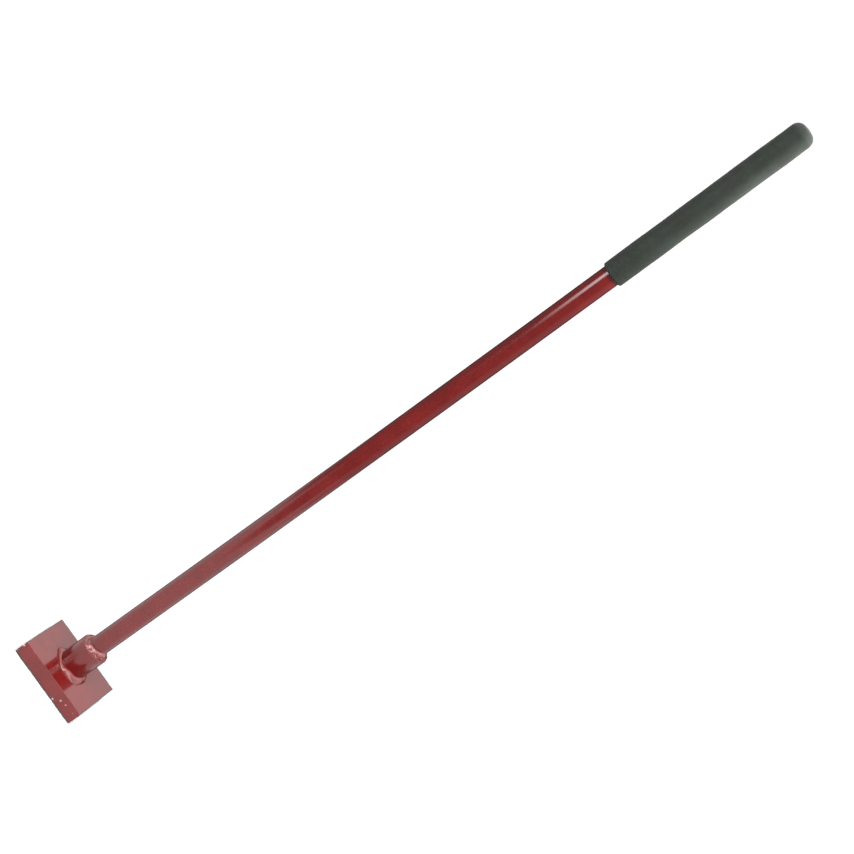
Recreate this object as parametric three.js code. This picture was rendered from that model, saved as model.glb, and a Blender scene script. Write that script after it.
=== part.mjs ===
// A long-handled hand tamper for setting posts: a thick square steel plate, a steel collar welded
// to it, a steel tube handle standing in the collar, and a closed-end foam grip on the handle.
//
// Millimetres, +Z up. The tool stands on its plate: the origin is the centre of the plate's bottom
// face, and the handle rises along +Z. Everything is welded or glued, so nothing moves.

import * as THREE from 'three';

// Driving dimensions.
const INCH = 25.4;
const GAP = 0.3;                            // clearance left between pieces that touch

const PLATE_SIDE = 105;                     // square, cut from 20 mm plate
const PLATE_THICKNESS = 20;
const PLATE_EDGE_BREAK = 0.8;               // ground-off sharp edges
const PLATE_CORNER_RADIUS = 1.2;

const HANDLE_RADIUS = 12.5;                 // 25 mm round tube
const HANDLE_WALL = 1.6;
const HANDLE_LENGTH = 41 * INCH;
const HANDLE_EDGE_BREAK = 0.25;

const COLLAR_RADIUS = 19.5;                 // thick-walled tube, 39 mm outside
const COLLAR_HEIGHT = 39;
const COLLAR_CHAMFER = 0.6;

const BASE_WELD_LEG = 4.7;                  // fillet between the plate and the collar
const BASE_WELD_BULGE = 0.7;                // how far the bead is proud of a flat fillet
const BASE_WELD_RIPPLES = 32;
const BASE_WELD_RIPPLE_DEPTH = 0.22;

const RIM_WELD_HEIGHT = 3.0;                // bead on the collar's rim, round the handle
const RIM_WELD_OVERLAP = 0.5;               // how far the bead stops short of the collar's edge
const RIM_WELD_LUMPS = 20;
const RIM_WELD_LUMP_DEPTH = 0.3;
const RIM_WELD_FULLNESS = 0.7;              // 1 is a plain quarter ellipse, less has squarer shoulders

const GRIP_RADIUS = 15.5;
const GRIP_LENGTH = 257;
const GRIP_END_THICKNESS = 5.5;             // foam over the handle's top end
const GRIP_END_ROUNDING = 9;
const GRIP_END_CROWN = 0.6;                 // rise of the end's middle
const GRIP_LIP_ROUNDING = 2;

const ROUND_STEPS = 64;                     // facets round a turned piece
const WELD_STEPS_PER_RIPPLE = 4;
const ARC_STEPS = 5;

// Heights worked out from the driving dimensions.
const PLATE_TOP = PLATE_THICKNESS;
const SEAT = PLATE_TOP + GAP;               // where the collar and the handle stand
const COLLAR_TOP = SEAT + COLLAR_HEIGHT;
const COLLAR_BORE_RADIUS = HANDLE_RADIUS + GAP;
const HANDLE_TOP = SEAT + HANDLE_LENGTH;
const GRIP_TOP = HANDLE_TOP + GAP + GRIP_END_THICKNESS;
const GRIP_BOTTOM = GRIP_TOP - GRIP_LENGTH;

// Materials.
const redEnamel = new THREE.MeshStandardMaterial({
  name: 'red_enamel', color: 0x8c4443, roughness: 0.25, metalness: 0.0,
});
const weldEnamel = new THREE.MeshStandardMaterial({
  name: 'painted_weld', color: 0x7a2f2f, roughness: 0.35, metalness: 0.0,
});
const greyFoam = new THREE.MeshStandardMaterial({
  name: 'foam_rubber', color: 0x484c45, roughness: 0.9, metalness: 0.0,
});

// Points of a circular arc in the (radius, height) half-plane, both ends included.
function arc(centreRadius, centreHeight, radius, startDegrees, endDegrees, steps = ARC_STEPS) {
  const points = [];
  for (let i = 0; i <= steps; i += 1) {
    const angle = THREE.MathUtils.degToRad(startDegrees + (endDegrees - startDegrees) * (i / steps));
    points.push(new THREE.Vector2(
      centreRadius + radius * Math.cos(angle),
      centreHeight + radius * Math.sin(angle),
    ));
  }
  return points;
}

// A body turned about +Z. The outline is a list of (radius, height) points, up the outside first.
function turned(outline, steps = ROUND_STEPS) {
  const geometry = new THREE.LatheGeometry(outline, steps);
  geometry.rotateX(Math.PI / 2);
  return geometry;
}

// A hollow cylinder whose four edges carry the same chamfer.
function chamferedRing(innerRadius, outerRadius, bottom, top, chamfer) {
  const outline = [
    [innerRadius + chamfer, bottom],
    [outerRadius - chamfer, bottom],
    [outerRadius, bottom + chamfer],
    [outerRadius, top - chamfer],
    [outerRadius - chamfer, top],
    [innerRadius + chamfer, top],
    [innerRadius, top - chamfer],
    [innerRadius, bottom + chamfer],
    [innerRadius + chamfer, bottom],
  ];
  return turned(outline.map(([radius, height]) => new THREE.Vector2(radius, height)));
}

// A weld bead: a turned ring whose outer skin swells and sinks regularly round the joint. The
// skin moves away from the root, which is the bead's inner bottom corner and stays where it is.
function weldBead(outline, rootRadius, rootHeight, ripples, depth) {
  const geometry = turned(outline, ripples * WELD_STEPS_PER_RIPPLE);
  const position = geometry.getAttribute('position');
  const reach = Math.max(...outline.map((point) => point.x)) - rootRadius;
  for (let i = 0; i < position.count; i += 1) {
    const x = position.getX(i);
    const y = position.getY(i);
    const z = position.getZ(i);
    const radius = Math.hypot(x, y);
    const outward = (radius - rootRadius) / reach;
    const upward = (z - rootHeight) / reach;
    const swell = 0.5 * depth * (Math.cos(ripples * Math.atan2(y, x)) - 1);
    const newRadius = radius + swell * outward;
    position.setXYZ(i, x * newRadius / radius, y * newRadius / radius, z + swell * upward);
  }
  return geometry;
}

function basePlate() {
  const half = PLATE_SIDE / 2;
  const corner = PLATE_CORNER_RADIUS;
  const outline = new THREE.Shape();
  outline.moveTo(half, -half + corner);
  outline.lineTo(half, half - corner);
  outline.absarc(half - corner, half - corner, corner, 0, Math.PI / 2);
  outline.lineTo(-half + corner, half);
  outline.absarc(-half + corner, half - corner, corner, Math.PI / 2, Math.PI);
  outline.lineTo(-half, -half + corner);
  outline.absarc(-half + corner, -half + corner, corner, Math.PI, 1.5 * Math.PI);
  outline.lineTo(half - corner, -half);
  outline.absarc(half - corner, -half + corner, corner, 1.5 * Math.PI, 2 * Math.PI);
  const geometry = new THREE.ExtrudeGeometry(outline, {
    depth: PLATE_THICKNESS - 2 * PLATE_EDGE_BREAK,
    bevelThickness: PLATE_EDGE_BREAK,
    bevelSize: PLATE_EDGE_BREAK,
    bevelOffset: -PLATE_EDGE_BREAK,
    bevelSegments: 1,
    curveSegments: 3,
  });
  geometry.translate(0, 0, PLATE_EDGE_BREAK);
  return geometry;
}

function socketCollar() {
  return chamferedRing(COLLAR_BORE_RADIUS, COLLAR_RADIUS, SEAT, COLLAR_TOP, COLLAR_CHAMFER);
}

function baseWeld() {
  const root = COLLAR_RADIUS + GAP;
  const skin = [];
  for (let i = 0; i <= ARC_STEPS; i += 1) {
    const along = i / ARC_STEPS;
    const bulge = BASE_WELD_BULGE * Math.sin(Math.PI * along) * Math.SQRT1_2;
    skin.push(new THREE.Vector2(
      root + BASE_WELD_LEG * (1 - along) + bulge,
      SEAT + BASE_WELD_LEG * along + bulge,
    ));
  }
  const outline = [new THREE.Vector2(root, SEAT), ...skin, new THREE.Vector2(root, SEAT)];
  return weldBead(outline, root, SEAT, BASE_WELD_RIPPLES, BASE_WELD_RIPPLE_DEPTH);
}

function rimWeld() {
  const root = COLLAR_BORE_RADIUS;
  const bottom = COLLAR_TOP + GAP;
  const width = COLLAR_RADIUS - RIM_WELD_OVERLAP - root;
  const skin = [];
  for (let i = 0; i <= ARC_STEPS; i += 1) {
    const angle = (i / ARC_STEPS) * (Math.PI / 2);
    skin.push(new THREE.Vector2(
      root + width * Math.cos(angle) ** RIM_WELD_FULLNESS,
      bottom + RIM_WELD_HEIGHT * Math.sin(angle) ** RIM_WELD_FULLNESS,
    ));
  }
  const outline = [new THREE.Vector2(root, bottom), ...skin, new THREE.Vector2(root, bottom)];
  return weldBead(outline, root, bottom, RIM_WELD_LUMPS, RIM_WELD_LUMP_DEPTH);
}

function handleTube() {
  const bore = HANDLE_RADIUS - HANDLE_WALL;
  return chamferedRing(bore, HANDLE_RADIUS, SEAT, HANDLE_TOP, HANDLE_EDGE_BREAK);
}

function foamGrip() {
  const inner = HANDLE_RADIUS + GAP;
  const lip = GRIP_LIP_ROUNDING;
  const shoulder = GRIP_TOP - GRIP_END_CROWN - GRIP_END_ROUNDING;
  const outline = [
    new THREE.Vector2(0, HANDLE_TOP + GAP),
    new THREE.Vector2(inner, HANDLE_TOP + GAP),
    new THREE.Vector2(inner, GRIP_BOTTOM),
    ...arc(GRIP_RADIUS - lip, GRIP_BOTTOM + lip, lip, -90, 0),
    ...arc(GRIP_RADIUS - GRIP_END_ROUNDING, shoulder, GRIP_END_ROUNDING, 0, 90),
    new THREE.Vector2(0, GRIP_TOP),
  ];
  return turned(outline);
}

function piece(name, geometry, material) {
  const mesh = new THREE.Mesh(geometry, material);
  mesh.name = name;
  return mesh;
}

const tamper = new THREE.Group();
tamper.add(
  piece('base_plate', basePlate(), redEnamel),
  piece('socket_collar', socketCollar(), redEnamel),
  piece('base_weld', baseWeld(), weldEnamel),
  piece('rim_weld', rimWeld(), weldEnamel),
  piece('handle_tube', handleTube(), redEnamel),
  piece('foam_grip', foamGrip(), greyFoam),
);

export default tamper;
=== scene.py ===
"""The looks of a hand tamper: detailed meshes, procedural materials, a pale studio and a camera.

Metres, +Z up. The tool stands on the floor on its plate, with the handle along +Z. Sizes given
as "* MM" are millimetres.
"""

import math

import bmesh
import bpy
import numpy as np
from mathutils import Matrix, Vector


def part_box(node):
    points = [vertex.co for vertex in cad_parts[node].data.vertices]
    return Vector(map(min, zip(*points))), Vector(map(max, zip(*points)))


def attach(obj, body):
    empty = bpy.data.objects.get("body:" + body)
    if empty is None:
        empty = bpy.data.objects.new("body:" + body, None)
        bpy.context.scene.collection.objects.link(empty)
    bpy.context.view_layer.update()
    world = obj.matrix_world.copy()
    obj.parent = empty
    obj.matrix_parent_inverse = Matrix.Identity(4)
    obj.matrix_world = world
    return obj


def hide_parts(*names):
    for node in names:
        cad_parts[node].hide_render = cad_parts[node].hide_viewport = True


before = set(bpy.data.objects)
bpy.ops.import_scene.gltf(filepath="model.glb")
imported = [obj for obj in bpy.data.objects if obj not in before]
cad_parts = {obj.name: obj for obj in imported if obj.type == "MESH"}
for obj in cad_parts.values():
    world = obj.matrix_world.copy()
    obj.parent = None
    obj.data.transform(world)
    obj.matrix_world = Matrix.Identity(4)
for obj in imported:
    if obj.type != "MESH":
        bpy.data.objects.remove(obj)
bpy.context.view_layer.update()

MM = 0.001
TURN = 2 * math.pi

# Places taken from the frame.
PLATE_LOW, PLATE_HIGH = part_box("base_plate")
COLLAR_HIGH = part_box("socket_collar")[1]
HANDLE_LOW, HANDLE_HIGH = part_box("handle_tube")
GRIP_LOW, GRIP_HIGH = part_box("foam_grip")

PLATE_TOP = PLATE_HIGH.z
COLLAR_RADIUS = COLLAR_HIGH.x
COLLAR_TOP = COLLAR_HIGH.z
HANDLE_RADIUS = HANDLE_HIGH.x
HANDLE_TOP = HANDLE_HIGH.z
GRIP_RADIUS = GRIP_HIGH.x
GRIP_BOTTOM = GRIP_LOW.z
GRIP_TOP = GRIP_HIGH.z

# The camera stands in front of the tool and looks down at it, rolled so that the handle runs
# from the lower left to the upper right.
CAMERA_TARGET = Vector((0, 0, 0.55))
CAMERA_ELEVATION = math.radians(15.085)
CAMERA_AZIMUTH = math.radians(-0.379)
CAMERA_ROLL = math.radians(54.274)
CAMERA_DISTANCE = 2.2
CAMERA_LENS_MM = 83.414
CAMERA_NUDGE = (4.97 * MM, -16.46 * MM)  # to the camera's own right and up

# Studio light. Azimuths are measured about the tool from the camera's side, positive towards +X.
SKY_STRENGTH = 0.68
KEY_PLACE = Vector((0.5, -1.35, 3.6))
KEY_AIM = Vector((0.5, 0, 0.2))
KEY_SIZE = (4.5, 0.6)
KEY_POWER = 335
SIDE_PLACE = Vector((0.92, 0.1, 1.4))
SIDE_AIM = Vector((0, 0, 1.0))
SIDE_SIZE = (0.4, 0.4)
SIDE_POWER = 58
HIGHLIGHT_AZIMUTH = math.radians(-44)
STREAK_AZIMUTH = math.radians(-64)
CARD_STRENGTH = 10.0

# Paint, steel, painted shade and highlight, and foam, as linear colours.
ENAMEL_RED = (0.168, 0.0072, 0.0064)
ENAMEL_DEEP = (0.141, 0.0055, 0.0050)
ENAMEL_FADED = (0.184, 0.0120, 0.0103)
# Painted shade in the welds' crevices.
CREVICE_SHADE_RED = (0.045, 0.0030, 0.0028)
# Painted highlight on the welds' crests.
CREST_HIGHLIGHT_PINK = (0.34, 0.18, 0.17)
BARE_STEEL = (0.50, 0.38, 0.38)
# Painted shade along the plate's bottom and edges.
EDGE_SHADE_BROWN = (0.046, 0.025, 0.021)
# Painted shade on the handle below the grip.
GRIP_SHADE_RED = (0.030, 0.006, 0.005)
FOAM_GREY = (0.0160, 0.0190, 0.0155)
# Painted shade in the foam's pores.
FOAM_PORE_SHADE = (0.0090, 0.0105, 0.0075)
FOAM_LIGHT = (0.0200, 0.0240, 0.0200)


# ---------------------------------------------------------------- mesh helpers

def smooth_noise(points, wavelength, seed, waves=16):
    """Smooth noise from about -1 to 1 at each point: a sum of waves in seeded directions."""
    random = np.random.default_rng(seed)
    directions = random.normal(size=(waves, 3))
    directions /= np.linalg.norm(directions, axis=1)[:, None]
    lengths = wavelength * random.uniform(0.7, 1.6, waves)
    phases = random.uniform(0, TURN, waves)
    angles = points @ (directions * (TURN / lengths)[:, None]).T + phases
    return np.cos(angles).sum(axis=-1) * math.sqrt(2 / waves) * 0.6


def ring_noise(angle, seed, highest):
    """Smooth noise from about -1 to 1 round a circle, with up to that many waves in a turn."""
    random = np.random.default_rng(seed)
    total = np.zeros_like(angle)
    for waves in range(1, highest + 1):
        total += np.cos(waves * angle + random.uniform(0, TURN)) * random.uniform(0.5, 1)
    return total / math.sqrt(highest)


def add_object(name, vertices, faces, attributes=None):
    """A smooth-shaded mesh object with its vertices in the row frame."""
    mesh = bpy.data.meshes.new(name)
    mesh.from_pydata([tuple(v) for v in vertices], [], faces)
    mesh.polygons.foreach_set("use_smooth", [True] * len(mesh.polygons))
    for label, values in (attributes or {}).items():
        layer = mesh.attributes.new(label, "FLOAT", "POINT")
        layer.data.foreach_set("value", np.asarray(values, dtype=np.float32).ravel())
    mesh.update()
    made = bpy.data.objects.new(name, mesh)
    bpy.context.scene.collection.objects.link(made)
    return made


def ring_faces(rows, segments, first=0, closed=True):
    """Quads that join rows of points round +Z, wound to face out where the rows go up."""
    faces = []
    for i in range(rows if closed else rows - 1):
        low = first + i * segments
        high = first + ((i + 1) % rows) * segments
        for j in range(segments):
            k = (j + 1) % segments
            faces.append((low + j, low + k, high + k, high + j))
    return faces


def turned_points(outline, segments):
    """Rows of points: each (radius, height) of the outline, turned about +Z."""
    outline = np.asarray(outline, dtype=float)
    angle = np.arange(segments) * TURN / segments
    radius = np.broadcast_to(outline[:, :1], (len(outline), segments))
    height = np.broadcast_to(outline[:, 1:], (len(outline), segments))
    return radius.copy(), height.copy(), np.broadcast_to(angle, radius.shape)


def to_xyz(radius, height, angle):
    """Points at those radii, heights and angles about +Z."""
    return np.stack([radius * np.cos(angle), radius * np.sin(angle), height], axis=-1)


def arc(centre_radius, centre_height, radius, start_degrees, end_degrees, steps):
    """Points of a circular arc in the (radius, height) half-plane, both ends included."""
    angles = np.radians(np.linspace(start_degrees, end_degrees, steps + 1))
    return [(centre_radius + radius * math.cos(a), centre_height + radius * math.sin(a))
            for a in angles]


def straight(start, end, step):
    """Points between two (radius, height) points, without either end."""
    start, end = np.array(start), np.array(end)
    count = max(1, round(float(np.linalg.norm(end - start)) / step))
    return [tuple(start + (end - start) * i / count) for i in range(1, count)]


# ---------------------------------------------------------------- node helpers

def node(tree, kind, inputs=None, **settings):
    """Adds one shader node. An input given as a socket is linked, and anything else is its value."""
    made = tree.nodes.new("ShaderNode" + kind)
    for key, value in settings.items():
        setattr(made, key, value)
    for key, value in (inputs or {}).items():
        if isinstance(value, bpy.types.NodeSocket):
            tree.links.new(value, made.inputs[key])
        else:
            made.inputs[key].default_value = value
    return made


def new_tree(name):
    """A new material and its emptied node tree."""
    material = bpy.data.materials.new(name)
    material.use_nodes = True
    material.node_tree.nodes.clear()
    return material, material.node_tree


def noise(tree, where, size, detail=2.0, roughness=0.5):
    """Noise from 0 to 1 whose features are about that many metres across."""
    made = node(tree, "TexNoise", {"Vector": where, "Scale": 1 / size, "Detail": detail,
                                   "Roughness": roughness})
    return made.outputs["Fac"]


def remap(tree, value, low, high, to_low=0.0, to_high=1.0):
    """to_low where the value is low, to_high where it is high, and smooth between the two."""
    made = node(tree, "MapRange", {"Value": value, "From Min": low, "From Max": high,
                                   "To Min": to_low, "To Max": to_high})
    made.interpolation_type = "SMOOTHSTEP"
    return made.outputs["Result"]


def maths(tree, operation, first, second):
    return node(tree, "Math", {0: first, 1: second}, operation=operation).outputs[0]


def mix_colour(tree, factor, first, second):
    """first where the factor is 0 and second where it is 1. Each is a socket or a linear colour."""
    made = node(tree, "Mix", {"Factor": factor}, data_type="RGBA")
    sockets = [socket for socket in made.inputs if socket.type == "RGBA"]
    for socket, value in zip(sockets, (first, second)):
        if isinstance(value, bpy.types.NodeSocket):
            tree.links.new(value, socket)
        else:
            socket.default_value = (*value, 1)
    return next(socket for socket in made.outputs if socket.type == "RGBA")


def bump(tree, height, distance, below=None):
    """The surface's normal where a height from 0 to 1 raises it by that distance."""
    inputs = {"Height": height, "Distance": distance, "Strength": 1.0}
    if below is not None:
        inputs["Normal"] = below
    return node(tree, "Bump", inputs).outputs["Normal"]


def output(tree, shader):
    node(tree, "OutputMaterial", {"Surface": shader.outputs[0]})


# ---------------------------------------------------------------- materials

GRIP_SHADE_START = 0.45                    # height from which painted shade darkens the handle
GRIP_SHADE_SHARE = 0.22                    # how much of its colour is painted shade just below the grip
CHIP_RAGGEDNESS = 1.6 * MM              # how far a chip's outline strays from round
CHIP_RAGGED_SCALE = 900.0               # turns of that straying in a metre


def chip_mask(tree, where, chips):
    """1 inside any chip, each a (place, radius) in metres, with ragged edges."""
    rough = node(tree, "TexNoise", {"Vector": where, "Scale": CHIP_RAGGED_SCALE, "Detail": 2.0})
    push = node(tree, "VectorMath", {0: rough.outputs["Color"], 1: (0.5, 0.5, 0.5)},
                operation="SUBTRACT")
    shift = node(tree, "VectorMath", {0: push.outputs[0], "Scale": CHIP_RAGGEDNESS},
                 operation="SCALE")
    ragged = node(tree, "VectorMath", {0: where, 1: shift.outputs[0]}, operation="ADD")
    mask = None
    for place, radius in chips:
        away = node(tree, "VectorMath", {0: ragged.outputs[0], 1: tuple(place)},
                    operation="DISTANCE").outputs["Value"]
        spot = remap(tree, away, radius * 0.75, radius * 1.05, 1.0, 0.0)
        mask = spot if mask is None else maths(tree, "MAXIMUM", mask, spot)
    return mask


def enamel_coat(tree, where, roughness, peel_height, shade=1.0):
    """Colour, roughness and surface of glossy red enamel: mottled, with a faint orange peel.

    shade below 1 darkens the colour towards black, as painted shade."""
    mottle = noise(tree, where, 34 * MM, detail=5.0, roughness=0.6)
    patches = noise(tree, where, 9 * MM, detail=3.0)
    grain = noise(tree, where, 1.1 * MM, detail=2.0)
    peel = noise(tree, where, 2.6 * MM, detail=1.0)
    flow = noise(tree, where, 14 * MM, detail=1.0)
    colour = mix_colour(tree, remap(tree, mottle, 0.36, 0.66), ENAMEL_DEEP, ENAMEL_RED)
    colour = mix_colour(tree, remap(tree, patches, 0.52, 0.76, 0.0, 0.55), colour, ENAMEL_FADED)
    colour = mix_colour(tree, 1 - shade, colour, (0, 0, 0))
    gloss = maths(tree, "ADD", remap(tree, mottle, 0.3, 0.7, roughness, roughness * 1.5),
                  remap(tree, grain, 0.55, 0.8, 0.0, 0.06))
    surface = bump(tree, peel, peel_height)
    surface = bump(tree, flow, peel_height * 3, surface)
    return colour, gloss, surface


def over(tree, mask, under, colour, gloss):
    """Lays a new colour and roughness over (colour, roughness) where the mask is 1."""
    keep = maths(tree, "SUBTRACT", 1.0, mask)
    mixed = maths(tree, "ADD", maths(tree, "MULTIPLY", under[1], keep),
                  maths(tree, "MULTIPLY", gloss, mask))
    return mix_colour(tree, mask, under[0], colour), mixed


def painted(tree, colour, gloss, surface, metal=0.0):
    """Finishes a material of glossy paint, with bare metal where metal is 1."""
    inputs = {"Base Color": colour, "Roughness": gloss, "Normal": surface, "IOR": 1.55,
              "Metallic": metal}
    output(tree, node(tree, "BsdfPrincipled", inputs))


def tube_enamel(name, roughness, peel_height, shade=1.0):
    """Enamel on the handle and the collar: scuffed along the tube, with painted shade near the grip.
    """
    material, tree = new_tree(name)
    where = node(tree, "TexCoord").outputs["Object"]
    colour, gloss, surface = enamel_coat(tree, where, roughness, peel_height, shade)
    drawn_out = node(tree, "VectorMath", {0: where, 1: (1, 1, 0.12)}, operation="MULTIPLY")
    scuffs = noise(tree, drawn_out.outputs[0], 1.6 * MM, detail=3.0, roughness=0.65)
    scuffs = maths(tree, "MULTIPLY", remap(tree, scuffs, 0.66, 0.80),
                   remap(tree, noise(tree, where, 60 * MM), 0.5, 0.7))
    colour, gloss = over(tree, scuffs, (colour, gloss), ENAMEL_FADED, 0.3)
    height = node(tree, "SeparateXYZ", {0: where}).outputs["Z"]
    # Painted shade: the enamel darkens towards the grip.
    grip_shade = remap(tree, height, GRIP_SHADE_START, GRIP_BOTTOM, 0.0, GRIP_SHADE_SHARE)
    colour = mix_colour(tree, grip_shade, colour, GRIP_SHADE_RED)
    painted(tree, colour, gloss, surface)
    return material


def plate_enamel(name, chips):
    """Enamel on the plate: chipped, worn off underneath, with painted shade at the ground and edges.
    """
    material, tree = new_tree(name)
    where = node(tree, "TexCoord").outputs["Object"]
    coat = enamel_coat(tree, where, 0.10, 0.006 * MM)
    surface = coat[2]
    height = node(tree, "SeparateXYZ", {0: where}).outputs["Z"]
    edge = node(tree, "Attribute", attribute_name="edge").outputs["Fac"]
    ragged = noise(tree, where, 3.2 * MM, detail=4.0)
    grain = noise(tree, where, 1.1 * MM, detail=2.0)

    worn = remap(tree, maths(tree, "MULTIPLY", edge, ragged), 0.78, 0.82)
    under = maths(tree, "MULTIPLY", remap(tree, height, 0.15 * MM, 0.6 * MM, 1.0, 0.0),
                  remap(tree, noise(tree, where, 12 * MM, detail=6.0), 0.40, 0.52))
    metal = maths(tree, "MAXIMUM", chip_mask(tree, where, chips), worn)
    metal = maths(tree, "MAXIMUM", metal, under)
    steel_gloss = remap(tree, grain, 0.3, 0.7, 0.32, 0.5)
    look = over(tree, metal, coat[:2], BARE_STEEL, steel_gloss)

    # Painted shade: a dark band along the bottom where the plate meets the ground, and dark rims
    # along its edges.
    uneven = maths(tree, "MULTIPLY", ragged, 2.4 * MM)
    low = remap(tree, maths(tree, "SUBTRACT", height, uneven), 0.6 * MM, 2.0 * MM, 1.0, 0.0)
    painted_edge_shade = node(tree, "Attribute", attribute_name="painted_edge_shade").outputs["Fac"]
    shaded_rims = maths(tree, "MULTIPLY", remap(tree, painted_edge_shade, 0.2, 0.65),
                 remap(tree, ragged, 0.30, 0.60, 0.65, 0.95))
    painted_shade = maths(tree, "MAXIMUM", maths(tree, "MULTIPLY", low, 0.95), shaded_rims)
    painted_shade = maths(tree, "MULTIPLY", painted_shade, maths(tree, "SUBTRACT", 1.0, metal))
    colour, gloss = over(tree, painted_shade, look, EDGE_SHADE_BROWN, 0.4)
    surface = bump(tree, maths(tree, "SUBTRACT", 1.0, metal), 0.12 * MM, surface)
    painted(tree, colour, gloss, surface, maths(tree, "MULTIPLY", metal, 0.9))
    return material


def weld_enamel(name, unevenness, crest_highlight):
    """Weld bead enamel: painted shade in the crevices, a painted highlight on crests, rarely bare.
    """
    material, tree = new_tree(name)
    where = node(tree, "TexCoord").outputs["Object"]
    crest = node(tree, "Attribute", attribute_name="crest").outputs["Fac"]
    grit = noise(tree, where, 0.9 * MM, detail=3.0, roughness=0.6)
    patches = noise(tree, where, 3.5 * MM, detail=3.0)
    # Painted shade: darker red where the crest value is low, in the bead's shaded toe and its dents.
    colour = mix_colour(tree, remap(tree, crest, 0.0, 0.30), CREVICE_SHADE_RED, ENAMEL_RED)
    colour = mix_colour(tree, remap(tree, patches, 0.5, 0.75, 0.0, 0.7), colour, ENAMEL_FADED)
    # Painted highlight: pale pink laid over the raised crests, up to the given share.
    highlighted = remap(tree, crest, 0.40, 0.85, 0.0, crest_highlight)
    colour = mix_colour(tree, highlighted, colour, CREST_HIGHLIGHT_PINK)
    gloss = remap(tree, patches, 0.3, 0.7, 0.13, 0.24)
    bare = maths(tree, "MULTIPLY", remap(tree, crest, 0.6, 0.95), grit)
    bare = remap(tree, bare, 0.74, 0.80)
    colour, gloss = over(tree, bare, (colour, gloss), BARE_STEEL, 0.35)
    surface = bump(tree, grit, 0.008 * MM)
    surface = bump(tree, patches, unevenness, surface)
    painted(tree, colour, gloss, surface, maths(tree, "MULTIPLY", bare, 0.85))
    return material


def foam(name):
    """Closed-cell foam rubber: matt, finely pored, slightly cloudy."""
    material, tree = new_tree(name)
    where = node(tree, "TexCoord").outputs["Object"]
    cells = node(tree, "TexVoronoi", {"Vector": where, "Scale": 1 / (0.9 * MM)}).outputs["Distance"]
    pores = node(tree, "TexVoronoi", {"Vector": where, "Scale": 1 / (2.3 * MM)}).outputs["Distance"]
    cloud = noise(tree, where, 22 * MM, detail=4.0, roughness=0.6)
    skin = noise(tree, where, 0.7 * MM, detail=3.0, roughness=0.7)

    colour = mix_colour(tree, remap(tree, cloud, 0.35, 0.7), FOAM_GREY, FOAM_LIGHT)
    # Painted shade: the pits of the pores are darkened.
    pit = remap(tree, pores, 0.10, 0.22, 1.0, 0.0)
    pit = maths(tree, "MULTIPLY", pit, remap(tree, skin, 0.5, 0.62))
    colour = mix_colour(tree, pit, colour, FOAM_PORE_SHADE)
    surface = bump(tree, cells, 0.08 * MM)
    surface = bump(tree, skin, 0.06 * MM, surface)
    surface = bump(tree, maths(tree, "SUBTRACT", 1.0, pit), 0.16 * MM, surface)
    inputs = {"Base Color": colour, "Normal": surface, "IOR": 1.4, "Specular IOR Level": 0.25,
              "Sheen Weight": 0.05, "Sheen Roughness": 0.5,
              "Roughness": remap(tree, skin, 0.2, 0.8, 0.62, 0.78)}
    output(tree, node(tree, "BsdfPrincipled", inputs))
    return material


# ---------------------------------------------------------------- plate

PLATE_TOP_EDGE = 0.4 * MM                # radius of the edges at the top
PLATE_BOTTOM_EDGE = 1.5 * MM             # battered rounder where it strikes the ground
EDGE_REACH = 3.5 * MM                    # how far wear and the painted edge shade reach in from an edge
PLATE_CELL = 1.0 * MM
PLATE_FINE_CELL = 0.22 * MM              # over the rounded edges
PLATE_SKIN_INSET = 0.04 * MM             # keeps the uneven skin inside the frame's box
# Nicks knocked into the plate's edges: place as fractions of the half sides and the thickness,
# how wide, and how deep.
PLATE_NICKS = (
    ((-1, -1, 0.70), 2.6 * MM, 0.9 * MM),
    ((-1, -1, 0.18), 1.8 * MM, 0.35 * MM),
    ((0.36, -1, 0.05), 2.2 * MM, 0.55 * MM),
    ((1, -1, 1.0), 2.0 * MM, 0.5 * MM),
    ((-0.42, -1, 0.0), 2.4 * MM, 0.35 * MM),
    ((1, 0.35, 1.0), 2.4 * MM, 0.40 * MM),
    ((-1, 1, 1.0), 2.2 * MM, 0.5 * MM),
    ((-0.2, 1, 0.0), 2.6 * MM, 0.45 * MM),
    ((1, 1, 0.3), 2.0 * MM, 0.35 * MM),
)
NICK_LEAN = 4 * MM                       # a nick points at the middle of the steel this far in
# Places where the paint is knocked off the front face and its edges: x and height in
# millimetres from the plate's middle and bottom, and the chip's radius.
FRONT_CHIPS = (
    (25.5, 10.3, 1.35),
    (33.1, 12.1, 1.0),
    (18.3, 2.9, 1.5),
    (45.4, 13.4, 0.55),
    (-51.4, 14.1, 1.7),
    (-51.6, 3.2, 0.8),
)


def slab_stations(low, high):
    """Positions along one side: close together over the rounded ends, evenly spaced between."""
    fine = PLATE_BOTTOM_EDGE + 2 * PLATE_FINE_CELL
    near = np.arange(0, fine, PLATE_FINE_CELL)
    count = round((high - low - 2 * fine) / PLATE_CELL)
    return np.concatenate([low + near, np.linspace(low + fine, high - fine, count + 1),
                           high - near[::-1]])


def slab_surface(low, high):
    """Vertices and quads of a box's six faces, each a grid, with shared edges to be merged."""
    vertices, faces = [], []
    for axis in range(3):
        across, along = [(1, 2), (2, 0), (0, 1)][axis]
        first = slab_stations(low[across], high[across])
        second = slab_stations(low[along], high[along])
        for side, level in ((0, low[axis]), (1, high[axis])):
            start = len(vertices)
            for a in first:
                for b in second:
                    point = [0.0, 0.0, 0.0]
                    point[axis], point[across], point[along] = level, a, b
                    vertices.append(point)
            for i in range(len(first) - 1):
                for j in range(len(second) - 1):
                    a = start + i * len(second) + j
                    quad = (a, a + len(second), a + len(second) + 1, a + 1)
                    faces.append(quad if side else quad[::-1])
    return np.array(vertices), faces


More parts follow.
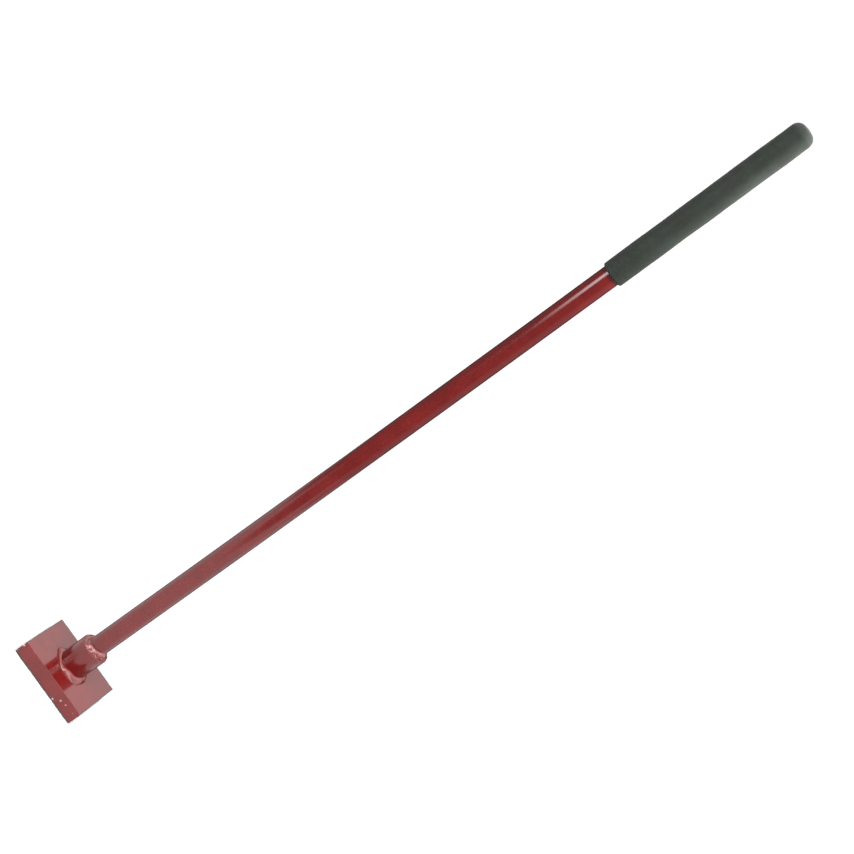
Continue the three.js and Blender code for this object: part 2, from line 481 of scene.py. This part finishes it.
def merge_close(made, distance):
    """Merges an object's vertices that are closer together than that."""
    work = bmesh.new()
    work.from_mesh(made.data)
    bmesh.ops.remove_doubles(work, verts=work.verts, dist=distance)
    work.to_mesh(made.data)
    work.free()


def make_plate():
    """Thick square of rolled steel, battered and nicked at its edges, rounder at the bottom."""
    inset = Vector((1, 1, 0)) * PLATE_SKIN_INSET
    low = np.array(PLATE_LOW + inset)
    high = np.array(PLATE_HIGH - inset)
    points, faces = slab_surface(low, high)
    # The box's edges are pulled in to a round, which is larger at the bottom.
    fraction = (points[:, 2:] - low[2]) / (high[2] - low[2])
    round_off = PLATE_BOTTOM_EDGE + (PLATE_TOP_EDGE - PLATE_BOTTOM_EDGE) * fraction
    core = np.clip(points, low + round_off, high - round_off)
    out = points - core
    outward = out / np.maximum(np.linalg.norm(out, axis=1), 1e-12)[:, None]
    # 1 on the rounded edges and corners, falling to 0 a little way into the faces.
    sides = np.sort(np.minimum(points - low, high - points), axis=1)
    edge = np.clip(1 - sides[:, 1] / EDGE_REACH, 0, 1)
    # Painted shade darkens every edge but the one at the top of the front face.
    front = np.clip(1 - (points[:, 1] - low[1]) / EDGE_REACH, 0, 1)
    painted_edge_shade = edge * (1 - front * np.clip(fraction[:, 0] * 2, 0, 1))
    points = core + outward * round_off
    # Rolled plate is never quite flat, and its edges are slightly battered.
    swell = smooth_noise(points, 26 * MM, seed=3) * 0.05 * MM - 0.06 * MM
    batter = (smooth_noise(points, 5 * MM, seed=4) - 1.2) * 0.10 * MM * edge ** 2
    points = points + outward * np.minimum(swell + batter, 0)[:, None]
    middle = (low + high) / 2
    for fractions, width, depth in PLATE_NICKS:
        place = np.array([middle[0] + fractions[0] * (high[0] - middle[0]),
                          middle[1] + fractions[1] * (high[1] - middle[1]),
                          low[2] + fractions[2] * (high[2] - low[2])])
        near = np.exp(-((np.linalg.norm(points - place, axis=1) / width) ** 2) * 2)
        inward = np.clip(place, low + NICK_LEAN, high - NICK_LEAN) - place
        inward /= np.linalg.norm(inward)
        points = points + inward * (near * depth)[:, None]
    points[:, 2] = np.clip(points[:, 2], PLATE_LOW.z, PLATE_HIGH.z)
    made = add_object("plate", points, faces, {"edge": edge, "painted_edge_shade": painted_edge_shade})
    merge_close(made, 0.005 * MM)
    chips = []
    for x, height, radius in FRONT_CHIPS:
        place = Vector((x * MM, PLATE_LOW.y, height * MM))
        chips.append((place, radius * MM))
    made.data.materials.append(plate_enamel("plate_enamel", chips))
    finish_piece(made, "base_plate")


# ---------------------------------------------------------------- collar, handle and grip

TUBE_ROUGHNESS = 0.12
COLLAR_SEGMENTS = 192
COLLAR_EDGE = 1.1 * MM
COLLAR_PEEL = 0.006 * MM                # height of the paint's orange peel
HANDLE_SEGMENTS = 96
HANDLE_WALL = 1.6 * MM
HANDLE_STEP = 6 * MM
HANDLE_PEEL = 0.004 * MM
HANDLE_SHADE = 0.85                     # painted shade: darkens its enamel against the collar's
BOW_START = COLLAR_TOP + 10 * MM        # the handle bows to +X from here, and back past the span
BOW_SLOPE = 0.006
BOW_SPAN = 0.694
GRIP_SEGMENTS = 160
GRIP_STEP = 1.4 * MM
GRIP_END_ROUNDING = 11 * MM
GRIP_END_CROWN = 0.5 * MM
GRIP_LIP_ROUNDING = 2.2 * MM
GRIP_SKIN_INSET = 0.25 * MM             # room for the foam's unevenness inside the frame's box


def make_collar():
    """Thick tube, sawn off by hand, so its wall is slightly uneven."""
    bore = HANDLE_RADIUS
    top = COLLAR_TOP
    outer = COLLAR_RADIUS - 0.05 * MM
    outline = [(bore, PLATE_TOP), (outer, PLATE_TOP)]
    outline += straight((outer, PLATE_TOP), (outer, top - COLLAR_EDGE), 1.2 * MM)
    outline += arc(outer - COLLAR_EDGE, top - COLLAR_EDGE, COLLAR_EDGE, 0, 90, 5)
    outline += [(bore, top)]
    radius, height, angle = turned_points(outline, COLLAR_SEGMENTS)
    points = to_xyz(radius, height, angle)
    skin = smooth_noise(points, 17 * MM, seed=11) * 0.05 * MM - 0.05 * MM
    radius = np.where(radius > bore + MM, radius + skin, radius)
    points = to_xyz(radius, height, angle).reshape(-1, 3)
    made = add_object("collar", points, ring_faces(len(outline), COLLAR_SEGMENTS))
    made.data.materials.append(tube_enamel("collar_enamel", TUBE_ROUGHNESS, COLLAR_PEEL))
    finish_piece(made, "socket_collar")


def bowed(points):
    """Moves points sideways to follow the handle, which isn't quite straight above the collar."""
    rise = np.maximum(points[..., 2] - BOW_START, 0)
    bent = points.copy()
    bent[..., 0] += BOW_SLOPE * rise * (1 - rise / BOW_SPAN)
    return bent


def make_handle():
    """Round welded tube under enamel, a trace out of straight."""
    inner = HANDLE_RADIUS - HANDLE_WALL
    outer = HANDLE_RADIUS - 0.03 * MM
    low, high = HANDLE_LOW.z, HANDLE_HIGH.z
    round_off = 0.4 * MM
    outline = [(inner, low), (outer - round_off, low), (outer, low + round_off)]
    outline += straight(outline[-1], (outer, high - round_off), HANDLE_STEP)
    outline += [(outer, high - round_off), (outer - round_off, high), (inner, high)]
    outline += straight((inner, high), (inner, low), HANDLE_STEP * 6)
    radius, height, angle = turned_points(outline, HANDLE_SEGMENTS)
    points = to_xyz(radius, height, angle)
    skin = smooth_noise(points * (1, 1, 0.25), 20 * MM, seed=21) * 0.025 * MM - 0.02 * MM
    radius = np.where(radius > HANDLE_RADIUS - 0.1 * MM, radius + skin, radius)
    points = bowed(to_xyz(radius, height, angle)).reshape(-1, 3)
    made = add_object("handle", points, ring_faces(len(outline), HANDLE_SEGMENTS))
    enamel = tube_enamel("handle_enamel", TUBE_ROUGHNESS, HANDLE_PEEL, HANDLE_SHADE)
    made.data.materials.append(enamel)
    finish_piece(made, "handle_tube")


def make_grip():
    """Moulded foam sleeve with a closed, well rounded end, pushed over the handle."""
    inner = HANDLE_RADIUS
    outer = GRIP_RADIUS - GRIP_SKIN_INSET
    top = GRIP_TOP - GRIP_SKIN_INSET * 0.5
    lip, end = GRIP_LIP_ROUNDING, GRIP_END_ROUNDING
    shoulder = top - GRIP_END_CROWN - end
    outline = [(0.5 * MM, HANDLE_TOP), (inner, HANDLE_TOP)]
    outline += straight((inner, HANDLE_TOP), (inner, GRIP_BOTTOM), 12 * MM)
    outline += [(inner, GRIP_BOTTOM + 0.4 * MM), (inner + 0.4 * MM, GRIP_BOTTOM)]
    outline += arc(outer - lip, GRIP_BOTTOM + lip, lip, -90, 0, 6)
    outline += straight((outer, GRIP_BOTTOM + lip), (outer, shoulder), GRIP_STEP)
    outline += arc(outer - end, shoulder, end, 0, 90, 16)
    flat = outer - end
    for i in range(1, 9):
        reach = 1 - i / 9
        rise = GRIP_END_CROWN * (1 - reach ** 2)
        outline.append((flat * reach, shoulder + end + rise))
    radius, height, angle = turned_points(outline, GRIP_SEGMENTS)
    points = to_xyz(radius, height, angle)
    skin = (smooth_noise(points * (1, 1, 0.5), 24 * MM, seed=31) * 0.16
            + smooth_noise(points, 7 * MM, seed=32) * 0.06) * MM
    outside = radius > inner + 1.2 * MM
    radius = np.where(outside, radius + np.clip(skin, -0.5 * MM, GRIP_SKIN_INSET * 0.9), radius)
    grid = to_xyz(radius, height, angle)
    rows = len(outline)
    points = np.vstack([grid.reshape(-1, 3), [[0, 0, HANDLE_TOP]], [[0, 0, top]]])
    points = bowed(points)
    faces = ring_faces(rows, GRIP_SEGMENTS, closed=False)
    start, tip, last = rows * GRIP_SEGMENTS, rows * GRIP_SEGMENTS + 1, (rows - 1) * GRIP_SEGMENTS
    for j in range(GRIP_SEGMENTS):
        k = (j + 1) % GRIP_SEGMENTS
        faces.append((start, k, j))
        faces.append((last + j, last + k, tip))
    made = add_object("grip", points, faces)
    made.data.materials.append(foam("grip_foam"))
    finish_piece(made, "foam_grip")


# ---------------------------------------------------------------- welds

WELD_SEGMENTS = 720
WELD_ROWS = 26
KNOB_SPREAD = 0.22                      # how far a knob spreads, as a share of the bead's width
DROP_FLATNESS = 0.62                    # a drop of spatter's height as a share of its radius
# Ripples are how many in a turn, and how high. Lumps are (wavelength, height) pairs.
BASE_WELD_LEG = 4.9 * MM
BASE_WELD_BITE = 0.4 * MM               # how far its root lies inside the collar
BASE_WELD_SINK = 0.15 * MM              # and below the plate's top
BASE_WELD_FULLNESS = 1.35
BASE_WELD_RIPPLES = (54, 0.04 * MM)
BASE_WELD_LUMPS = ((11 * MM, 0.30 * MM), (5 * MM, 0.07 * MM))
# Knobs on a bead: angle about +Z and half width in degrees, how far across it, and height.
BASE_WELD_KNOBS = (
    (-89, 6, 0.6, 0.8 * MM), (178, 9, 0.4, 0.8 * MM), (32, 7, 0.4, 0.5 * MM),
    (95, 10, 0.5, 0.6 * MM),
)
RIM_WELD_REACH = 6.4 * MM
RIM_WELD_RISE = 4.6 * MM
RIM_WELD_BITE = 0.3 * MM                # how far its root lies inside the handle
RIM_WELD_SINK = 0.3 * MM                # and below the collar's top
RIM_WELD_FULLNESS = 1.55
RIM_WELD_RIPPLES = (34, 0.03 * MM)
RIM_WELD_LUMPS = ((5 * MM, 0.42 * MM), (3.2 * MM, 0.05 * MM))
RIM_WELD_KNOBS = (
    (-62, 46, 0.72, 0.7 * MM), (-30, 8, 0.35, 0.7 * MM), (-50, 7, 0.72, 0.6 * MM),
    (-68, 6, 0.72, 0.6 * MM), (-86, 6, 0.72, 0.6 * MM), (-104, 7, 0.72, 0.7 * MM),
    (-158, 24, 0.6, -0.8 * MM), (60, 12, 0.5, 0.6 * MM), (140, 10, 0.4, 0.5 * MM),
)
# Spatter: angle about +Z in degrees, distance from the axis and height above the plate's
# bottom in millimetres, and the drop's radius.
SPATTER_ON_PLATE = (
    (178, 28.2, 0.9), (201, 30.0, 0.5), (236, 29.0, 0.6), (262, 31.5, 0.4), (318, 29.0, 0.6),
    (12, 30.5, 0.5), (48, 33.0, 0.4), (95, 29.5, 0.6), (141, 31.5, 0.5),
)
SPATTER_ON_COLLAR = (
    (-31, 41.9, 1.5), (-112, 52.0, 0.35), (20, 45.0, 0.5), (88, 38.0, 0.5), (165, 50.0, 0.5),
)


def around(angle, degrees, width):
    """1 at that angle about +Z, falling to 0 over that many degrees either side."""
    away = np.angle(np.exp(1j * (angle - math.radians(degrees))))
    return np.exp(-((away / math.radians(width)) ** 2))


def bead_skin(root_radius, root_height, reach_out, reach_up, fullness):
    """A bead's skin from its outer toe to its upper toe, as rows of points round +Z.

    reach_out and reach_up are the bead's legs at each angle. fullness 2 is a flat fillet and 1
    is round. Also gives the direction across the bead and how far into the bead each row is."""
    angle = np.arange(WELD_SEGMENTS) * TURN / WELD_SEGMENTS
    across = np.linspace(0, 1, WELD_ROWS)[:, None]
    angle = np.broadcast_to(angle, (WELD_ROWS, WELD_SEGMENTS))
    turn = across * math.pi / 2
    radius = root_radius + reach_out(angle) * np.cos(turn) ** fullness
    height = root_height + reach_up(angle) * np.sin(turn) ** fullness
    body = np.sin(math.pi * across) ** 0.6
    return radius, height, angle, across, body


def make_bead(skin, root, ripples, lumps, knobs, dark_toe, seed):
    """Closes a bead's skin with a root line, and raises ripples and smooth lumps on it.

    ripples are how many and how high. lumps are (wavelength, height) pairs. knobs are single
    rises: angle, half width, how far across the bead, and height. dark_toe is which toe the
    painted crevice shade gathers in, 0 the outer and 1 the upper, and how far across the bead it
    reaches."""
    radius, height, angle, across, body = skin
    phase = ripples[0] * angle / TURN + 0.5 * np.sin(math.pi * across)
    points = to_xyz(radius, height, angle)
    raised = np.sin(math.pi * phase) ** 2 * ripples[1]
    for i, (wavelength, rise) in enumerate(lumps):
        raised = raised + smooth_noise(points, wavelength, seed + i) * rise
    for degrees, width, middle, rise in knobs:
        near = np.exp(-(((across - middle) / KNOB_SPREAD) ** 2))
        raised = raised + around(angle, degrees, width) * near * rise
    raised = raised * body
    turn = across * math.pi / 2
    points = to_xyz(radius + raised * np.cos(turn), height + raised * np.sin(turn), angle)
    # Crest values: low in the shaded toe and in dents, high on raised lumps; the enamel paints shade
    # and highlight from them.
    open_to_light = np.clip(np.abs(across - dark_toe[0]) / dark_toe[1], 0, 1)
    crest = np.clip(open_to_light * (0.7 + raised / (2 * lumps[0][1])), 0, 1)
    line = to_xyz(np.full_like(radius[:1], root[0]), np.full_like(height[:1], root[1]), angle[:1])
    points = np.concatenate([line, points])
    shade = np.concatenate([np.zeros_like(crest[:1]), crest])
    return points.reshape(-1, 3), ring_faces(len(points), WELD_SEGMENTS), shade.ravel()


def add_drop(points, faces, shade, place, out, radius):
    """Adds a flattened bead of spatter, half sunk where it landed."""
    work = bmesh.new()
    bmesh.ops.create_icosphere(work, subdivisions=3, radius=1.0)
    turn = Vector((0, 0, 1)).rotation_difference(Vector(out)).to_matrix()
    start = len(points)
    drop = [Vector(place) + turn @ Vector((v.co.x, v.co.y, v.co.z * DROP_FLATNESS)) * radius
            for v in work.verts]
    drop_faces = [tuple(start + v.index for v in f.verts) for f in work.faces]
    work.free()
    points = np.vstack([points, [tuple(p) for p in drop]])
    # Drops take a crest value of 0.8, so they carry part of the painted highlight.
    return points, faces + drop_faces, np.concatenate([shade, np.full(len(drop), 0.8)])


def make_base_weld():
    """Fillet weld between plate and collar, laid by hand: uneven legs, lumps and spatter."""
    root = (COLLAR_RADIUS - BASE_WELD_BITE, PLATE_TOP - BASE_WELD_SINK)

    def reach_out(angle):
        uneven = 0.35 * ring_noise(angle, 41, 6)
        starts = 1.6 * around(angle, 178, 14) + 2.9 * around(angle, -55, 28)
        starts -= 3.0 * around(angle, -132, 36)
        return BASE_WELD_LEG + (0.9 + uneven + starts) * MM

    def reach_up(angle):
        uneven = 0.30 * ring_noise(angle, 42, 5)
        starts = 0.9 * around(angle, -76, 14) - 0.8 * around(angle, -112, 16)
        starts -= 1.9 * around(angle, -132, 36)
        return BASE_WELD_LEG + (uneven + starts) * MM

    skin = bead_skin(*root, reach_out, reach_up, BASE_WELD_FULLNESS)
    points, faces, shade = make_bead(skin, root, BASE_WELD_RIPPLES, BASE_WELD_LUMPS,
                                     BASE_WELD_KNOBS, dark_toe=(1, 0.2), seed=44)
    for degrees, distance, radius in SPATTER_ON_PLATE:
        angle = math.radians(degrees)
        place = (distance * MM * math.cos(angle), distance * MM * math.sin(angle), PLATE_TOP)
        points, faces, shade = add_drop(points, faces, shade, place, (0, 0, 1), radius * MM)
    for degrees, height, radius in SPATTER_ON_COLLAR:
        angle = math.radians(degrees)
        out = (math.cos(angle), math.sin(angle), 0)
        place = (COLLAR_RADIUS * out[0], COLLAR_RADIUS * out[1], height * MM)
        points, faces, shade = add_drop(points, faces, shade, place, out, radius * MM)
    made = add_object("plate_weld", points, faces, {"crest": shade})
    enamel = weld_enamel("plate_weld_enamel", unevenness=0.05 * MM, crest_highlight=0.10)
    made.data.materials.append(enamel)
    finish_piece(made, "base_weld")


def make_rim_weld():
    """Lumpy bead round the handle on the collar's top, thicker at one side."""
    root = (HANDLE_RADIUS - RIM_WELD_BITE, COLLAR_TOP - RIM_WELD_SINK)

    def reach_out(angle):
        uneven = 0.25 * ring_noise(angle, 51, 8)
        return RIM_WELD_REACH + (uneven + 0.8 * around(angle, 150, 30)) * MM

    def reach_up(angle):
        uneven = 0.35 * ring_noise(angle, 52, 7)
        starts = 4.0 * around(angle, -25, 50) + 1.4 * around(angle, 145, 26)
        starts -= 1.6 * around(angle, 195, 28)
        return RIM_WELD_RISE + (uneven + starts) * MM

    skin = bead_skin(*root, reach_out, reach_up, RIM_WELD_FULLNESS)
    points, faces, shade = make_bead(skin, root, RIM_WELD_RIPPLES, RIM_WELD_LUMPS,
                                     RIM_WELD_KNOBS, dark_toe=(0, 0.8), seed=54)
    made = add_object("rim_bead", points, faces, {"crest": shade})
    enamel = weld_enamel("rim_weld_enamel", unevenness=0.02 * MM, crest_highlight=0.40)
    made.data.materials.append(enamel)
    finish_piece(made, "rim_weld")


def finish_piece(made, node_name):
    """Fixes a piece to the tool's one body, and hides the frame's part that it stands for."""
    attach(made, "root")
    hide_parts(node_name)


# ---------------------------------------------------------------- studio and camera

STUDIO_RADIUS = 28.0
STUDIO_HEIGHT = 16.0
FLOOR_WHITENESS = 0.8
BARE_FLOOR = 3 * MM                     # floor seen as it is lit beyond the plate's edges
BACKDROP_GLOW = 1.1
BACKDROP_LIFT = 0.5 * MM                # above the floor

# The floor that the gloss mirrors: a white sheet round the tool, and a dimmer floor beyond.
MIRRORED_FLOOR_LIFT = 1 * MM
WHITE_SHEET = (1.03, 0.75)              # the sheet's half width, and its reach in front
WHITE_SHEET_SOFTNESS = 0.26
WHITE_SHEET_GLOW = 1.40
ROOM_FLOOR_GLOW = 0.25
ROOM_FLOOR_GLOW_RIGHT = 0.38            # added towards +X
ROOM_FLOOR_GLOW_LEFT = 0.10             # added towards -X
BEHIND_GLOW = 0.25                      # how much of all that is left behind the tool

# The room that the gloss mirrors: a round wall and a ceiling.
MIRROR_WALL_RADIUS = 6.5
MIRROR_WALL_START = 1.5
MIRROR_WALL_HEIGHT = 5.0
WALL_GLOW = 1.4
CEILING_GLOW = 2.6
CEILING_BAND_PLACE = -2.5               # along Y
CEILING_BAND_HALF = (0.5, 2.7)          # half widths where it is full and where it has faded
CEILING_BAND_GLOW = 2.7
RIGHT_WALL_GLOW = 1.0                   # added high up at the right
RIGHT_WALL_SIDE = (4.7, 6.3)            # along X, where that starts and where it is full
RIGHT_WALL_RISE = (1.8, 3.2)            # along Z, the same

# Black boards that stand either side of the tool.
FLAG_DISTANCE = 0.35
FLAG_REACH = 0.35
FLAG_START = 0.12
LEFT_FLAG_TOP = 1.6
RIGHT_FLAG_TOP = 1.06


def limit_rays(made, camera=False, glossy=False, diffuse=False):
    """Makes a studio surface seen by those rays only. Only a diffuse one lights or shades."""
    made.visible_camera = camera
    made.visible_glossy = glossy
    made.visible_diffuse = diffuse
    made.visible_shadow = diffuse
    made.visible_transmission = False
    made.visible_volume_scatter = False


def turned_sheet(name, outline):
    """A staging surface turned about +Z, from an outline of (radius, height) in metres."""
    radius, height, angle = turned_points(outline, 96)
    points = to_xyz(radius, height, angle).reshape(-1, 3)
    return add_object(name, points, ring_faces(len(outline), 96, closed=False))


def glow_material(name, strength, cover):
    """Emission of that strength where cover is 1, and see-through where it is 0.

    It isn't sampled as a lamp: it is there to be seen, not to light the tool."""
    material, tree = new_tree(name)
    material.cycles.emission_sampling = "NONE"
    where = node(tree, "TexCoord").outputs["Object"]
    clear = node(tree, "BsdfTransparent")
    light = node(tree, "Emission", {"Color": (1, 1, 1, 1), "Strength": strength(tree, where)})
    mixed = node(tree, "MixShader", {0: cover(tree, where), 1: clear.outputs[0],
                                     2: light.outputs[0]})
    output(tree, mixed)
    return material


def flat_distance(tree, where):
    """Distance from the tool's axis."""
    flat = node(tree, "VectorMath", {0: where, 1: (1, 1, 0)}, operation="MULTIPLY")
    return node(tree, "VectorMath", {0: flat.outputs[0]}, operation="LENGTH").outputs["Value"]


def make_floor():
    """Pale, matt floor that the tool stands on."""
    floor = turned_sheet("floor", [(STUDIO_RADIUS, 0), (0.5, 0), (0.001, 0)])
    material, tree = new_tree("floor_white")
    white = (FLOOR_WHITENESS, FLOOR_WHITENESS, FLOOR_WHITENESS, 1)
    output(tree, node(tree, "BsdfDiffuse", {"Color": white}))
    floor.data.materials.append(material)


def make_backdrop():
    """Plain white beyond the floor close to the plate, and up the studio's wall."""
    radius = STUDIO_RADIUS - 1
    outline = [(radius, STUDIO_HEIGHT), (radius, BACKDROP_LIFT), (PLATE_HIGH.x, BACKDROP_LIFT)]
    sheet = turned_sheet("backdrop", outline)

    def cover(tree, where):
        place = node(tree, "SeparateXYZ", {0: where}).outputs
        beside = maths(tree, "ABSOLUTE", place["X"], 0.0)
        before = maths(tree, "ABSOLUTE", place["Y"], 0.0)
        away = maths(tree, "MAXIMUM", beside, before)
        return remap(tree, away, PLATE_HIGH.x + 0.5 * MM, PLATE_HIGH.x + BARE_FLOOR)

    white = glow_material("backdrop_white", lambda tree, where: BACKDROP_GLOW, cover)
    sheet.data.materials.append(white)
    limit_rays(sheet, camera=True)


def make_mirrored_floor():
    """What the gloss mirrors from below: the white sheet round the tool, and the room beyond.

    The room's floor is brighter towards the sides, and all of it is dimmer behind the tool."""
    outline = [(MIRROR_WALL_RADIUS, MIRROR_WALL_START), (MIRROR_WALL_RADIUS, MIRRORED_FLOOR_LIFT),
               (PLATE_HIGH.x / 2, MIRRORED_FLOOR_LIFT)]
    sheet = turned_sheet("mirrored_floor", outline)

    def strength(tree, where):
        place = node(tree, "SeparateXYZ", {0: where}).outputs
        distance = flat_distance(tree, where)
        # 1 straight to +X of the tool, and -1 straight to -X.
        side = maths(tree, "DIVIDE", place["X"], distance)
        right = remap(tree, side, 0.62, 1.0, 0.0, ROOM_FLOOR_GLOW_RIGHT)
        left = remap(tree, side, -1.0, -0.4, ROOM_FLOOR_GLOW_LEFT, 0.0)
        room = maths(tree, "ADD", maths(tree, "ADD", right, left), ROOM_FLOOR_GLOW)
        half = WHITE_SHEET_SOFTNESS / 2
        beside = remap(tree, maths(tree, "ABSOLUTE", place["X"], 0.0),
                       WHITE_SHEET[0] - half, WHITE_SHEET[0] + half)
        before = remap(tree, maths(tree, "MULTIPLY", place["Y"], -1.0),
                       WHITE_SHEET[1] - half, WHITE_SHEET[1] + half)
        beyond = maths(tree, "MAXIMUM", beside, before)
        sheet_glow = maths(tree, "MULTIPLY", maths(tree, "SUBTRACT", 1.0, beyond),
                           WHITE_SHEET_GLOW)
        glow = maths(tree, "ADD", sheet_glow, maths(tree, "MULTIPLY", room, beyond))
        # 1 straight behind the tool, and -1 straight in front.
        behind = maths(tree, "DIVIDE", place["Y"], distance)
        return maths(tree, "MULTIPLY", glow, remap(tree, behind, 0.35, 0.8, 1.0, BEHIND_GLOW))

    sheet.data.materials.append(glow_material("mirrored_floor", strength, lambda tree, where: 1.0))
    limit_rays(sheet, glossy=True)


def make_mirrored_wall():
    """The white walls that the gloss mirrors, and the ceiling, brightest in a band in front."""
    outline = [(0.01, MIRROR_WALL_HEIGHT), (MIRROR_WALL_RADIUS, MIRROR_WALL_HEIGHT),
               (MIRROR_WALL_RADIUS, MIRROR_WALL_START)]
    sheet = turned_sheet("mirrored_wall", outline)

    def strength(tree, where):
        place = node(tree, "SeparateXYZ", {0: where}).outputs
        height = MIRROR_WALL_HEIGHT
        walls = remap(tree, place["Z"], height - 0.5, height, WALL_GLOW, CEILING_GLOW)
        away = maths(tree, "SUBTRACT", place["Y"], CEILING_BAND_PLACE)
        band = remap(tree, maths(tree, "ABSOLUTE", away, 0.0), *CEILING_BAND_HALF, 1.0, 0.0)
        overhead = remap(tree, place["Z"], height - 0.1, height, 0.0, CEILING_BAND_GLOW)
        right = maths(tree, "MULTIPLY", remap(tree, place["X"], *RIGHT_WALL_SIDE),
                      remap(tree, place["Z"], *RIGHT_WALL_RISE, 0.0, RIGHT_WALL_GLOW))
        walls = maths(tree, "ADD", walls, right)
        return maths(tree, "ADD", walls, maths(tree, "MULTIPLY", band, overhead))

    sheet.data.materials.append(glow_material("mirrored_wall", strength, lambda tree, where: 1.0))
    limit_rays(sheet, glossy=True)


def make_reflection_card(name, azimuth, distance, width, low, high, strength):
    """An upright bright card, soft at its sides, that fades in over its lower part.

    Only glossy surfaces see it."""
    across = Vector((math.cos(azimuth), math.sin(azimuth), 0))
    toward = Vector((math.sin(azimuth), -math.cos(azimuth), 0))
    corners = [toward * distance + across * (side * width / 2) + Vector((0, 0, z))
               for side, z in ((-1, low), (1, low), (1, high), (-1, high))]
    card = add_object(name, corners, [(0, 1, 2, 3)])
    material, tree = new_tree(name)
    material.cycles.emission_sampling = "NONE"
    where = node(tree, "TexCoord").outputs["Object"]
    along = node(tree, "VectorMath", {0: where, 1: tuple(across)}, operation="DOT_PRODUCT")
    along = maths(tree, "ABSOLUTE", along.outputs["Value"], 0.0)
    height = node(tree, "SeparateXYZ", {0: where}).outputs["Z"]
    soft = remap(tree, along, width * 0.12, width * 0.5, 1.0, 0.0)
    rise = remap(tree, height, low, low + 0.16)
    glow = maths(tree, "MULTIPLY", maths(tree, "MULTIPLY", soft, rise), strength)
    light = node(tree, "Emission", {"Color": (1, 1, 1, 1), "Strength": glow})
    both = node(tree, "AddShader", {0: light.outputs[0],
                                    1: node(tree, "BsdfTransparent").outputs[0]})
    output(tree, both)
    card.data.materials.append(material)
    limit_rays(card, glossy=True)


def make_flag(name, side, top):
    """A black board beside the tool that keeps light off its sides. Nothing mirrors it."""
    corners = [Vector((side * FLAG_DISTANCE, y, z))
               for y, z in ((-FLAG_REACH, FLAG_START), (FLAG_REACH, FLAG_START),
                            (FLAG_REACH, top), (-FLAG_REACH, top))]
    flag = add_object(name, corners, [(0, 1, 2, 3)])
    material, tree = new_tree(name)
    output(tree, node(tree, "BsdfDiffuse", {"Color": (0, 0, 0, 1)}))
    flag.data.materials.append(material)
    limit_rays(flag, diffuse=True)


def make_area_light(name, place, aim, size, power):
    """A soft rectangular lamp that points at aim. Neither the camera nor the gloss sees it."""
    data = bpy.data.lights.new(name, "AREA")
    data.shape = "RECTANGLE"
    data.size, data.size_y = size
    data.energy = power
    light = bpy.data.objects.new(name, data)
    light.location = place
    light.rotation_euler = (aim - place).to_track_quat("-Z", "Y").to_euler()
    light.visible_camera = False
    light.visible_glossy = False
    bpy.context.scene.collection.objects.link(light)


def make_sky():
    """Even white light from all round."""
    world = bpy.data.worlds.new("sky")
    world.use_nodes = True
    world.node_tree.nodes["Background"].inputs["Color"].default_value = (1, 1, 1, 1)
    world.node_tree.nodes["Background"].inputs["Strength"].default_value = SKY_STRENGTH
    bpy.context.scene.world = world


def make_camera():
    """A camera aimed at CAMERA_TARGET, then rolled, and shifted a little in its own plane."""
    azimuth, elevation, roll = CAMERA_AZIMUTH, CAMERA_ELEVATION, CAMERA_ROLL
    back = Vector((math.sin(azimuth) * math.cos(elevation),
                   -math.cos(azimuth) * math.cos(elevation),
                   math.sin(elevation)))
    level = Vector((math.cos(azimuth), math.sin(azimuth), 0))
    upright = back.cross(level)
    right = level * math.cos(roll) + upright * math.sin(roll)
    up = upright * math.cos(roll) - level * math.sin(roll)
    place = CAMERA_TARGET + back * CAMERA_DISTANCE + right * CAMERA_NUDGE[0] + up * CAMERA_NUDGE[1]
    data = bpy.data.cameras.new("camera")
    data.sensor_width = 36
    data.lens = CAMERA_LENS_MM
    camera = bpy.data.objects.new("camera", data)
    camera.matrix_world = Matrix((
        (right.x, up.x, back.x, place.x),
        (right.y, up.y, back.y, place.y),
        (right.z, up.z, back.z, place.z),
        (0, 0, 0, 1),
    ))
    bpy.context.scene.collection.objects.link(camera)
    bpy.context.scene.camera = camera


make_camera()
make_sky()
make_floor()
make_backdrop()
make_mirrored_floor()
make_mirrored_wall()
make_reflection_card("highlight_card", HIGHLIGHT_AZIMUTH, distance=1.2, width=0.95,
                     low=0.48, high=1.15, strength=CARD_STRENGTH)
make_reflection_card("streak_card", STREAK_AZIMUTH, distance=3.0, width=1.35,
                     low=1.15, high=1.85, strength=CARD_STRENGTH)
make_flag("left_flag", -1, LEFT_FLAG_TOP)
make_flag("right_flag", 1, RIGHT_FLAG_TOP)
make_area_light("key", KEY_PLACE, KEY_AIM, KEY_SIZE, KEY_POWER)
make_area_light("side", SIDE_PLACE, SIDE_AIM, SIDE_SIZE, SIDE_POWER)

make_plate()
make_collar()
make_base_weld()
make_rim_weld()
make_handle()
make_grip()

bpy.context.scene.view_settings.view_transform = "Standard"
